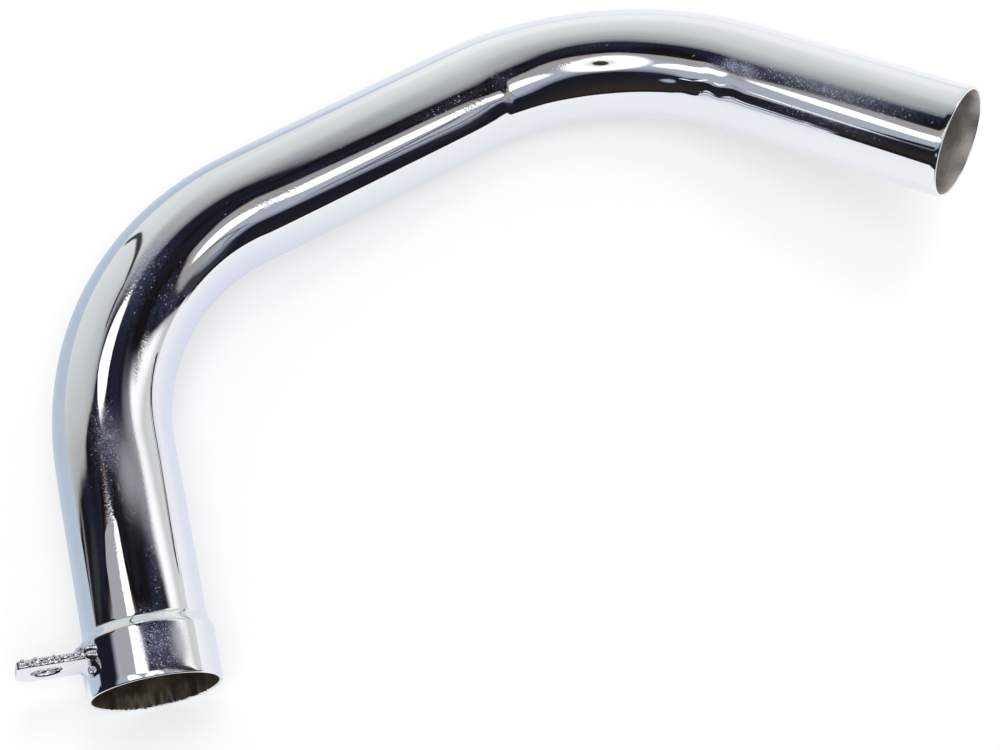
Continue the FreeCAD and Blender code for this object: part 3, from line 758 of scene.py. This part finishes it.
# Painted reflections of the lamp bank: white lobes with a dim halo round them, thin dark bars across them,
# and the camera's dark eye.
halo = north.slope(-0.18, -0.09).mix(colour(0.44, 0.47, 0.55), colour(0.38, 0.37, 0.37))
halo = (north - lamp_foot).slope(-0.02, 0.10).mix(colour(0.14, 0.15, 0.20), halo)
lamp_white = colour(1.7, 1.7, 1.7)
lamps = patch(-0.005, -0.185, 0.135, 0.14, 0.4)
for lobe in (
    (-0.35, -0.162, 0.088, 0.048, 0.4, 105),
    (-0.26, -0.205, 0.105, 0.05, 0.4, -23),
    (0.335, -0.105, 0.155, 0.058, 0.4, 25),
):
    lamps = lamps.math("MAXIMUM", lamps, patch(*lobe))
bars = patch(0.478, -0.14, 0.135, 0.012, 0.6, 84)
bars = bars.math("MAXIMUM", bars, patch(0.53, -0.212, 0.09, 0.011, 0.6, 12))
camera_eye = patch(0.012, -0.17, 0.028, 0.050, 0.5)
camera_eye = camera_eye.math("MAXIMUM", camera_eye, patch(0.012, -0.17, 0.06, 0.08, 0.95) * 0.5)
bank = (bars * 0.85).mix(lamps.mix(halo, lamp_white), colour(0.07, 0.075, 0.09))
bank = camera_eye.mix(bank, colour(0.05, 0.04, 0.035))
bank_reach = east.slope(-0.60, -0.50) * east.slope(0.74, 0.62)
fringe = wire.make("ShaderNodeValToRGB", {"stops": (
    (0.0, (0.012, 0.013, 0.022)), (0.35, (0.05, 0.028, 0.016)), (0.6, (0.36, 0.28, 0.22)),
    (1.0, (1.0, 1.0, 1.0)),
)}, {"Fac": below_slot.slope(-0.025, 0.015)})
multiplied = {"data_type": "RGBA", "blend_type": "MULTIPLY"}
bank = wire.make("ShaderNodeMix", multiplied, {0: 1.0, 6: bank, 7: fringe}, 2)
room = north.slope(-0.35, -0.95).mix(colour(0.012, 0.013, 0.022), colour(0.034, 0.028, 0.022))
room = patch(-0.28, -0.58, 0.05, 0.05, 0.9).mix(room, colour(0.35, 0.45, 0.55))
room = patch(0.85, -0.12, 0.3, 0.2, 0.9).mix(room, colour(0.04, 0.04, 0.045))
room = patch(0.64, -0.16, 0.15, 0.10, 0.7).mix(room, colour(0.24, 0.28, 0.35))
in_bank = below_slot.slope(-0.025, -0.02) * bank_reach
in_room = (lamp_foot - north).slope(-0.015, 0.02)
beside_bank = below_slot.slope(-0.02, 0.02)
seen = beside_bank.mix(cloth, room)
seen = patch(-0.91, -0.176, 0.12, 0.016, 0.8, 38).mix(seen, colour(0.22, 0.20, 0.16))
seen = patch(-0.72, -0.15, 0.12, 0.02, 0.9, 22).mix(seen, colour(0.035, 0.04, 0.042))
seen = in_bank.mix(seen, bank)
seen = in_room.mix(seen, room)
# Painted shade: a grey line along the tent's foot where the walls behind and to the west meet the floor.
low_down = height.slope(0.014, 0.004)
behind = north.slope(-0.05, 0.1)
on_west = east.slope(0.0, -0.3) * north.slope(-0.35, -0.2)
foot_painted_shade = low_down * north.math("MAXIMUM", behind, on_west)
seen = foot_painted_shade.mix(seen, colour(0.66, 0.68, 0.70))
finish_material(tent_material, wire.make("ShaderNodeEmission", inputs={"Color": seen, "Strength": 1.0}))
tent_mesh.materials.append(tent_material)

# Side panels, hung low over the elbow's left half, which glow only in the chrome and light nothing: painted
# reflections of a side lamp. A white one for the first bend and a white one with a dim grey border for the
# inlet are painted highlights, and a dark one beside that for the socket is a painted dark reflection.
PANEL_HEIGHT = 0.150
panel_outline = (
    (-0.161, -0.029), (-0.147, -0.017), (-0.137, -0.007), (-0.132, 0.005), (-0.127, 0.019), (-0.125, 0.029),
    (-0.128, 0.037), (-0.136, 0.037), (-0.150, 0.033), (-0.163, 0.021), (-0.174, 0.006), (-0.175, -0.002),
    (-0.170, -0.017))
inlet_outline = (
    (-0.103, -0.126), (-0.106, -0.118), (-0.117, -0.103), (-0.132, -0.095), (-0.143, -0.080),
    (-0.150, -0.066), (-0.161, -0.066), (-0.167, -0.084), (-0.165, -0.096), (-0.157, -0.113),
    (-0.153, -0.130))
border_outline = (
    (-0.153, -0.130), (-0.157, -0.113), (-0.165, -0.096), (-0.167, -0.084), (-0.163, -0.071),
    (-0.186, -0.072), (-0.215, -0.081), (-0.239, -0.095), (-0.245, -0.114), (-0.238, -0.126),
    (-0.236, -0.142))
# The dark panel: a painted dark reflection on the socket.
dark_panel_outline = (
    (-0.106, -0.118), (-0.060, -0.105), (-0.020, -0.085), (-0.010, -0.072), (-0.012, -0.055),
    (-0.045, -0.068), (-0.086, -0.085), (-0.108, -0.090))
panel_mesh = bpy.data.meshes.new("side_reflection_panels")
panel_points = []
panel_faces = []
for face in (panel_outline, inlet_outline, border_outline, dark_panel_outline):
    panel_faces.append(tuple(range(len(panel_points), len(panel_points) + len(face))))
    panel_points += [(x, y, PANEL_HEIGHT) for x, y in face]
panel_mesh.from_pydata(panel_points, [], panel_faces)
panel_mesh.polygons.foreach_set("material_index", (0, 0, 1, 2))
panel = bpy.data.objects.new("side_reflection_panels", panel_mesh)
bpy.context.scene.collection.objects.link(panel)
show_only_in_chrome(panel)
# Glow colours: white for the painted highlights, grey for the painted border, near black for the painted dark
# reflection.
for face_name, face_colour in (
    ("side_panel_painted_highlight", colour(1.3, 1.3, 1.3)),
    ("side_panel_painted_grey", colour(0.42, 0.42, 0.44)),
    ("side_panel_painted_dark", colour(0.02, 0.02, 0.03)),
):
    panel_material, wire = start_material(face_name)
    panel_material.cycles.emission_sampling = "NONE"
    glow = wire.make("ShaderNodeEmission", inputs={"Color": face_colour, "Strength": 1.0})
    finish_material(panel_material, glow)
    panel_mesh.materials.append(panel_material)

# Light, even from all round, with a soft lamp high on the near side and a weak one behind, and white behind
# the floor's edge
EVEN_LIGHT = 0.53
LAMP_LEAN = math.radians(6)
world = bpy.data.worlds.new("studio")
bpy.context.scene.world = world
world.use_nodes = True
world.node_tree.nodes.clear()
wire = Wire(world.node_tree)
to_camera = wire.make("ShaderNodeLightPath", out="Is Camera Ray")
in_mirror = wire.make("ShaderNodeLightPath", out="Is Glossy Ray")
through_glass = wire.make("ShaderNodeLightPath", out="Is Transmission Ray")
even = wire.make("ShaderNodeBackground", inputs={"Color": colour(1, 1, 1), "Strength": EVEN_LIGHT})
white = wire.make("ShaderNodeBackground", inputs={"Color": colour(1, 1, 1), "Strength": 1.0})
both = wire.make("ShaderNodeMixShader", inputs={0: to_camera + in_mirror + through_glass, 1: even, 2: white})
wire.make("ShaderNodeOutputWorld", inputs={"Surface": both}, out=None)

for lamp_name, energy, spread, tilt in (("near_lamp", 1.15, 35, 22), ("far_lamp", 0.45, 22, -17)):
    lamp_data = bpy.data.lights.new(lamp_name, "SUN")
    lamp_data.energy = energy
    lamp_data.angle = math.radians(spread)
    lamp = bpy.data.objects.new(lamp_name, lamp_data)
    bpy.context.scene.collection.objects.link(lamp)
    lamp.rotation_euler = (math.radians(tilt), LAMP_LEAN, 0)
    lamp.visible_glossy = False

# Camera, looking steeply down on the elbow as it lies
CAMERA_TARGET = Vector((-5.7, -0.6, 0.0)) * MM
CAMERA_DISTANCE = 697.5 * MM
CAMERA_ELEVATION = math.radians(64.4)
CAMERA_ROLL = math.radians(5.42)
SENSOR_MM = 36.0
LENS_MM = 74.62
camera_data = bpy.data.cameras.new("camera")
camera_data.sensor_width = SENSOR_MM
camera_data.lens = LENS_MM
camera = bpy.data.objects.new("camera", camera_data)
bpy.context.scene.collection.objects.link(camera)
tilt = Matrix.Rotation(math.pi / 2 - CAMERA_ELEVATION, 4, "X") @ Matrix.Rotation(CAMERA_ROLL, 4, "Z")
camera.matrix_world = Matrix.Translation(CAMERA_TARGET) @ tilt @ Matrix.Translation((0, 0, CAMERA_DISTANCE))
bpy.context.scene.camera = camera
